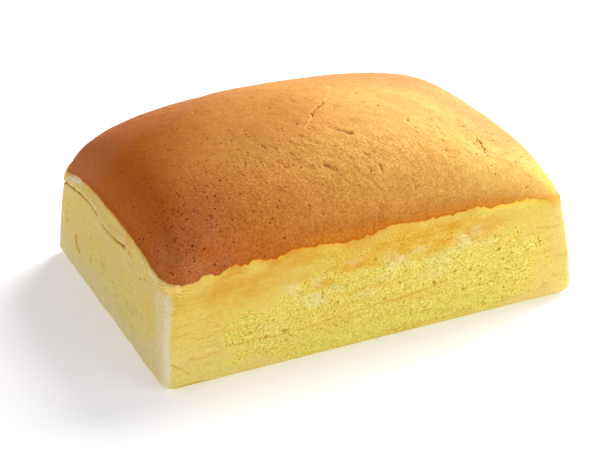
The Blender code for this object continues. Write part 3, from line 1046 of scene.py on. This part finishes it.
def sponge_skin(s, grain, lines):
    """Pale yellow skin, toasted in places and drawn into fine lines."""
    skin = s.mix(s.between(s.noise(24, 3), 0.35, 0.65), colour(231, 213, 114), colour(229, 204, 92))
    streaks = s.between(s.noise(2.0, 2, (9, 9, 1)), 0.45, 0.75)
    skin = s.mix(s.times(streaks, 0.3), skin, colour(224, 188, 84))
    blotches = s.between(s.noise(3.0, 4, (3, 3, 1), 6.0), 0.38, 0.6, 0.5, 0.95)
    skin = s.tinted(skin, (
        ("faded", 0.4, (228, 214, 146)),
        ("drawn", s.times(lines, 0.5), (214, 160, 56)),
        ("dull", 0.2, (232, 200, 136)),
        ("flush", 0.34, (236, 198, 156)),
        # pale patches on the left, and a painted highlight along the front's near corner edge
        ("pale_and_highlight", 0.7, (235, 227, 186)),
        ("amber", blotches, (219, 162, 50)),
        ("lemon", 0.5, (224, 213, 108)),
        ("dull", s.times(grain, 0.3), (212, 180, 92)),
    ))
    grainy = s.times(grain, s.between(s.mark("dull"), 0, 1, 0.4, 0.2))
    return s.mix(grainy, skin, colour(206, 162, 58))


def sponge_crumb(s, grain):
    """Grainy crumb of a deeper yellow, faintly layered."""
    crumb = s.mix(grain, colour(241, 230, 122), colour(217, 192, 62))
    patchy = s.between(s.noise(2.6, 4, (3, 3, 1), 6.0), 0.38, 0.6, 0.3, 1.0)
    crumb = s.filtered(crumb, s.times(s.mark("amber"), patchy), (0.95, 0.56, 0.12))
    layers = s.between(s.noise(3.0, 2, (12, 12, 1), 4.0), 0.46, 0.7)
    crumb = s.mix(s.times(layers, 0.4), crumb, colour(222, 182, 58))
    return s.tinted(crumb, (("lemon", 0.5, (225, 220, 90)), ("dull", 0.5, (228, 208, 148))))


def sponge_material():
    """Skin over crumb, with pores, flaky scraps, creases and stains, and painted shade in its pores, its
    fold's crease, under the crust's rim and over the right-hand end, and painted highlights along the
    corners and the torn lip.
    """
    s = Shader("castella_sponge")
    grain = s.between(s.noise(0.8, 3), 0.36, 0.64)
    off_middle = s.maths("SUBTRACT", s.noise(1.8, 3, (13, 13, 1), 9.0), 0.5)
    lines = s.between(s.maths("ABSOLUTE", off_middle, 0.0), 0.045, 0.0)
    bare = s.between(s.mark("crumb"), 0.15, 0.9)
    base = s.mix(bare, sponge_skin(s, grain, lines), sponge_crumb(s, grain))
    lace = s.between(s.noise(1.3, 4, seed=2.0), 0.36, 0.62, 0.15, 0.66)
    lace = s.times(lace, s.between(s.noise(3.5, 2), 0.35, 0.55, 0.45, 1.0))
    scraps = s.between(s.noise(0.8, 3, seed=5.0), 0.36, 0.5, 0.3, 0.9)
    base = s.tinted(base, (("pale", lace, (238, 230, 176)), ("white", scraps, (244, 242, 230))))
    # painted shade: dark dots inside the crumb's small holes
    holes = s.spots(0.95, 0.38, s.between(bare, 0.0, 1.0, 0.05, 0.85), 3.0)
    base = s.filtered(base, s.times(holes, 0.84), (0.6, 0.44, 0.1))
    specks = s.spots(1.1, 0.36, s.between(bare, 0.0, 1.0, 0.0, 0.7), 8.0)
    base = s.mix(s.times(specks, 0.62), base, colour(252, 240, 170))
    # painted shade: darker the deeper a point lies in a pore
    base = s.filtered(base, s.times(s.mark("pore"), 0.85), (0.56, 0.4, 0.08))
    base = s.tinted(base, (
        ("crease", 0.6, (212, 146, 44)),
        ("spot", 0.75, (192, 150, 10)),
        ("toasted", 0.7, (206, 130, 36)),
        ("foot", 0.5, (214, 208, 94)),
    ))
    # painted shade over the right end, which faces the key light
    base = s.filtered(base, s.times(s.mark("deep"), 0.9), (0.84, 0.66, 0.8))
    stains = s.between(s.noise(7, 2, seed=8.0), 0.4, 0.6, 0.45, 0.9)
    base = s.tinted(base, (
        # painted highlight along the corners
        ("corner_highlight", 0.6, (240, 230, 196)),
        # orange stain under the crust's rim, with painted shade there
        ("stain_and_shade_under_rim", stains, (208, 142, 26)),
        # painted highlight on the torn lip
        ("lip", 0.7, (238, 198, 58)),
        ("fringe", 0.85, (250, 220, 122)),
        ("gathered", 0.95, (202, 128, 38)),
        # the fold's crease, a brown line that is partly painted shade in the crease
        ("fold", 0.9, (166, 100, 26)),
    ))
    fine = s.bump(s.noise(0.6, 3), 0.2, 0.7)
    fine = s.bump(s.times(lines, s.mark("drawn")), -0.1, 0.6, fine)
    rough = s.bump(s.times(grain, bare), -0.18, 0.8, fine)
    return s.finish({
        "Base Color": base,
        "Roughness": s.between(s.noise(4, 2, seed=1.0), 0.3, 0.7, 0.72, 0.95),
        "Specular IOR Level": 0.2,
        "Subsurface Weight": 0.12,
        "Subsurface Radius": (1.0, 0.6, 0.2),
        "Subsurface Scale": 0.0012,
        "Normal": s.bump(s.maths("SUBTRACT", 1.0, holes), 0.3, 0.8, rough),
    })


def crust_material():
    """The browned top: satin browned skin, mottled, orange at its torn rim, with painted shade in its
    pores, dents and cracks and along the rim's line, painted highlights on its right-hand end and the
    cracks' raised edges, and painted shade and highlight in its overall browning.
    """
    s = Shader("castella_crust")
    # the browning, partly painted shade and highlight from the key light
    base = s.mix(s.mark("brown_and_shade"), colour(253, 214, 114), colour(190, 98, 10))
    mottle = s.between(s.noise(5.5, 4, seed=3.0), 0.38, 0.66)
    base = s.mix(s.times(mottle, 0.2), base, colour(172, 92, 26))
    base = s.tinted(base, (
        ("band", 0.44, (184, 96, 8)),
        ("flush", 0.6, (198, 130, 88)),
        # painted shade where the key light falls strongest
        ("rosy_painted_shade", 0.78, (228, 138, 76)),
        # painted highlight over the right-hand end near the rim
        ("golden_highlight", 0.8, (250, 206, 104)),
        ("rind", 0.5, (220, 142, 16)),
    ))
    # The skin's grain, in darker and in paler specks, is coarser towards the front; the specks are partly
    # its own mottling and partly painted shade and painted highlight on its pebbly relief
    coarse = s.mark("coarse")
    dark = s.between(s.noise(0.9, 4, seed=7.0), 0.42, 0.66)
    dark = s.times(dark, s.between(s.mark("brown_and_shade"), 0.1, 0.55, 0.5, 1.0))
    base = s.filtered(base, s.times(dark, s.between(coarse, 0, 1, 0.6, 1.0)), (0.82, 0.58, 0.4))
    pale = s.between(s.noise(1.0, 4, seed=11.0), 0.5, 0.72)
    base = s.filtered(base, s.times(pale, s.between(coarse, 0, 1, 0.3, 0.9)), (1.2, 1.24, 1.3))
    # the rim's dark line is partly painted shadow under the lip
    base = s.tinted(base, (("furrow", 0.16, (150, 78, 14)), ("edge", 0.85, (194, 98, 2))))
    # painted shade: the pores are dark inside
    small = s.spots(1.4, 0.46, s.between(s.mark("porous"), 0.2, 1.0, 0.0, 0.8), 14.0)
    base = s.mix(s.times(small, 0.6), base, colour(116, 44, 4))
    pins = s.spots(2.4, 0.78, s.mark("porous"), 5.0)
    base = s.mix(s.times(pins, 0.82), base, colour(108, 36, 2))
    base = s.mix(s.times(s.mark("pore"), 0.8), base, colour(104, 32, 2))
    # painted shade in the dents and cracks
    base = s.mix(s.between(s.mark("dent"), 0.1, 0.55, 0.0, 0.66), base, colour(138, 64, 10))
    # painted highlight on the cracks' raised edges
    base = s.mix(s.between(s.mark("ridge"), 0.0, 0.2, 0.0, 0.25), base, colour(250, 206, 130))
    base = s.mix(s.mark("under"), base, colour(214, 132, 14))
    fine = s.bump(s.noise(0.6, 3), 0.2, 0.7)
    pebbles = s.times(s.noise(1.4, 4, seed=9.0), s.between(coarse, 0, 1, 0.7, 1.8))
    pebbled = s.bump(pebbles, 0.3, 0.8, fine)
    return s.finish({
        "Base Color": base,
        "Roughness": s.between(s.noise(3, 3, seed=1.0), 0.3, 0.7, 0.6, 0.8),
        "Specular IOR Level": 0.11,
        "Subsurface Weight": 0.06,
        "Subsurface Radius": (1.0, 0.4, 0.1),
        "Subsurface Scale": 0.001,
        "Normal": s.bump(s.maths("SUBTRACT", 1.0, pins), 0.3, 0.8, pebbled),
    })


# ---------------------------------------------------------------- floor, light and camera

FLOOR_HALF = 3.0
MIDDLE = (0, 0, 0.04)   # the place that the lamps face
LAMPS = {               # place, width of the disk, power and tint
    "key": ((0.95, 0.5, 0.75), 1.1, 30, (1.0, 0.97, 0.93)),
    "fill": ((0.6, -0.95, 0.45), 0.9, 5.0, (1.0, 0.98, 0.96)),
    "side": ((-1.0, -0.35, 0.3), 0.8, 1.6, (1.0, 0.97, 0.94)),
}
SKY_COLOUR = (0.95, 0.96, 1.0, 1.0)
SKY_STRENGTH = 0.42
VIEW_TURN = 25.65       # degrees that the camera looks round from +Y towards +X
VIEW_DIP = 26.52        # degrees that it looks down
VIEW_DISTANCE = 0.7123
VIEW_AIM = (0.0007, 0.01055, 0.01966)
VIEW_LENS = 90.33       # mm, on a sensor 36 mm wide
VIEW_SENSOR = 36.0


def make_floor():
    mesh = bpy.data.meshes.new("floor")
    corners = [(x * FLOOR_HALF, y * FLOOR_HALF, 0) for x, y in ((-1, -1), (1, -1), (1, 1), (-1, 1))]
    mesh.from_pydata(corners, [], [(0, 1, 2, 3)])
    s = Shader("floor")
    cloudy = s.between(s.noise(400, 2), 0.3, 0.7)
    mesh.materials.append(s.finish({
        "Base Color": s.mix(cloudy, colour(246, 246, 248), colour(250, 250, 250)),
        "Roughness": 0.6,
        "Emission Color": colour(246, 242, 255),
        "Emission Strength": 0.26,
    }))
    add_object("floor", mesh)


def make_lights():
    for name, (place, width, power, tint) in LAMPS.items():
        light = bpy.data.lights.new(name, "AREA")
        light.shape = "DISK"
        light.size = width
        light.energy = power
        light.color = tint
        lamp = add_object(name, light)
        lamp.location = place
        lamp.rotation_euler = (Vector(MIDDLE) - Vector(place)).to_track_quat("-Z", "Y").to_euler()
    world = bpy.data.worlds.new("studio")
    world.use_nodes = True
    sky = world.node_tree.nodes["Background"]
    sky.inputs["Color"].default_value = SKY_COLOUR
    sky.inputs["Strength"].default_value = SKY_STRENGTH
    bpy.context.scene.world = world


def make_camera():
    camera = bpy.data.cameras.new("camera")
    camera.lens = VIEW_LENS
    camera.sensor_width = VIEW_SENSOR
    turn, dip = math.radians(VIEW_TURN), math.radians(VIEW_DIP)
    forward = Vector((math.sin(turn) * math.cos(dip), math.cos(turn) * math.cos(dip), -math.sin(dip)))
    holder = add_object("camera", camera)
    holder.location = Vector(VIEW_AIM) - VIEW_DISTANCE * forward
    holder.rotation_euler = forward.to_track_quat("-Z", "Y").to_euler()
    bpy.context.scene.camera = holder
    bpy.context.scene.view_settings.view_transform = "Standard"


def main():
    make_camera()
    make_lights()
    make_floor()
    sponge = sponge_material()
    crust = make_crust(crust_material())
    walls, edge = make_walls(sponge)
    pieces = crust + walls + [make_underside(edge, sponge)]
    for piece in pieces:
        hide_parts("cake")


main()
